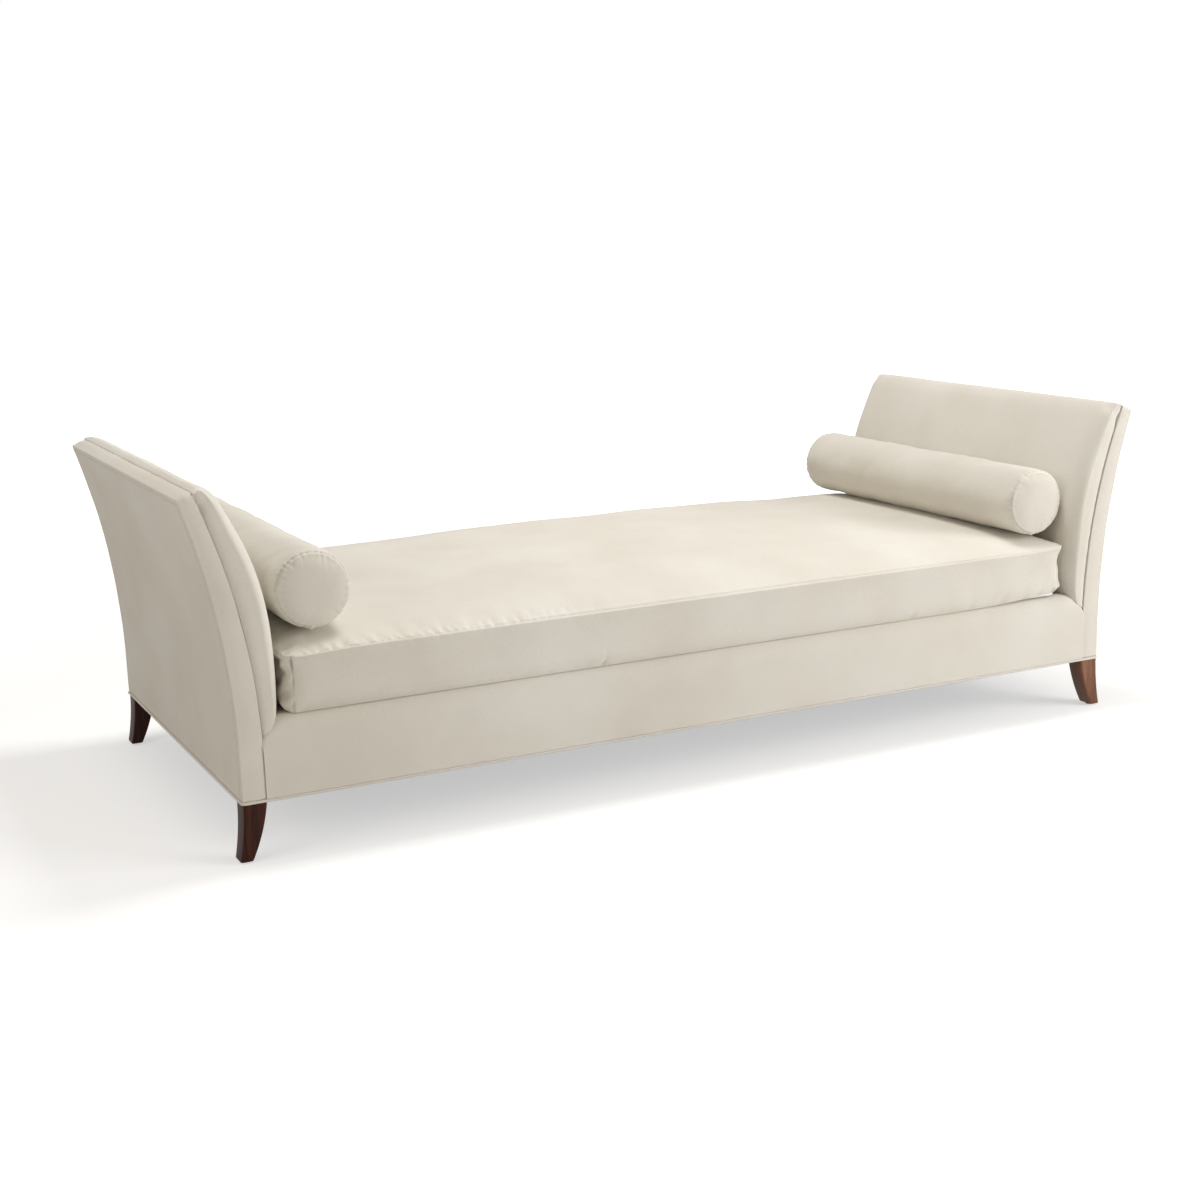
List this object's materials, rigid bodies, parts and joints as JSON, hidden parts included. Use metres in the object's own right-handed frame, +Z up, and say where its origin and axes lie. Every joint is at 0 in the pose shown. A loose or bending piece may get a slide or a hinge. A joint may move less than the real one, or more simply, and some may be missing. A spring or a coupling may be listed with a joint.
{
  "type": "backless divan",
  "caption": "Backless divan with flared padded arms, a loose boxed mattress, two round bolsters and sabre legs.",
  "frame": {"origin": "on the floor, under the middle of the divan", "axes": "+X along the length, -Y is the front, +Z up"},
  "size_m": [2.184, 0.92, 0.7038],
  "materials": {
    "cover_cotton": "matte",
    "walnut": "satin",
    "glide_nylon": "matte",
    "frame_hardwood": "raw",
    "foam": "matte",
    "fibre": "matte",
    "webbing": "matte",
    "felt": "matte",
    "platform_cloth": "matte",
    "dust_cloth": "matte",
    "zip_tape": "matte",
    "zip_metal": "satin",
    "zinc_steel": "zinc plated"
  },
  "bodies": {
    "frame": {"arm_band_left": "cover_cotton", "arm_band_right": "cover_cotton", "arm_post_back_left": "frame_hardwood", "arm_post_back_right": "frame_hardwood", "arm_post_front_left": "frame_hardwood", "arm_post_front_right": "frame_hardwood", "arm_tack_rail_left": "frame_hardwood", "arm_tack_rail_right": "frame_hardwood", "arm_top_rail_left": "frame_hardwood", "arm_top_rail_right": "frame_hardwood", "arm_webbing_left": "webbing", "arm_webbing_right": "webbing", "back_border": "cover_cotton", "back_edge_roll": "foam", "back_rail": "frame_hardwood", "base_welt": "cover_cotton", "centre_stretchers": "frame_hardwood", "corner_blocks": "frame_hardwood", "corner_bolts": "zinc_steel", "deck_cover": "platform_cloth", "deck_insulator": "felt", "deck_pad": "foam", "dust_cover": "dust_cloth", "end_rail_left": "frame_hardwood", "end_rail_right": "frame_hardwood", "front_border": "cover_cotton", "front_edge_roll": "foam", "front_rail": "frame_hardwood", "inside_arm_pad_left": "cover_cotton", "inside_arm_pad_right": "cover_cotton", "leg_back_left": "walnut", "leg_back_right": "walnut", "leg_bolts": "zinc_steel", "leg_front_left": "walnut", "leg_front_right": "walnut", "leg_glides": "glide_nylon", "outside_arm_panel_left": "cover_cotton", "outside_arm_panel_right": "cover_cotton", "seat_webbing_cross": "webbing", "seat_webbing_long": "webbing"},
    "mattress": {"mattress_core": "foam", "mattress_cover": "cover_cotton", "mattress_wrap": "fibre", "mattress_zip": "zip_tape"},
    "bolster_left": {"bolster_left_cover": "cover_cotton", "bolster_left_insert": "fibre", "bolster_left_zip": "zip_tape"},
    "bolster_right": {"bolster_right_cover": "cover_cotton", "bolster_right_insert": "fibre", "bolster_right_zip": "zip_tape"},
    "mattress_zip_slider": {"mattress_zip_slider": "zip_metal"},
    "bolster_left_zip_slider": {"bolster_left_zip_slider": "zip_metal"},
    "bolster_right_zip_slider": {"bolster_right_zip_slider": "zip_metal"}
  },
  "joints": [
    {"name": "mattress_lift", "type": "slide", "parent": "frame", "child": "mattress", "axis": [0, 0, 1], "range_m": [0, 0.4]},
    {"name": "bolster_left_lift", "type": "slide", "parent": "mattress", "child": "bolster_left", "axis": [0, 0, 1], "range_m": [0, 0.3]},
    {"name": "bolster_right_lift", "type": "slide", "parent": "mattress", "child": "bolster_right", "axis": [0, 0, 1], "range_m": [0, 0.3]},
    {"name": "mattress_zip_run", "type": "slide", "parent": "mattress", "child": "mattress_zip_slider", "axis": [1, 0, 0], "range_m": [0, 1.48]},
    {"name": "bolster_left_zip_run", "type": "slide", "parent": "bolster_left", "child": "bolster_left_zip_slider", "axis": [0, -1, 0], "range_m": [0, 0.71]},
    {"name": "bolster_right_zip_run", "type": "slide", "parent": "bolster_right", "child": "bolster_right_zip_slider", "axis": [0, -1, 0], "range_m": [0, 0.71]}
  ]
}
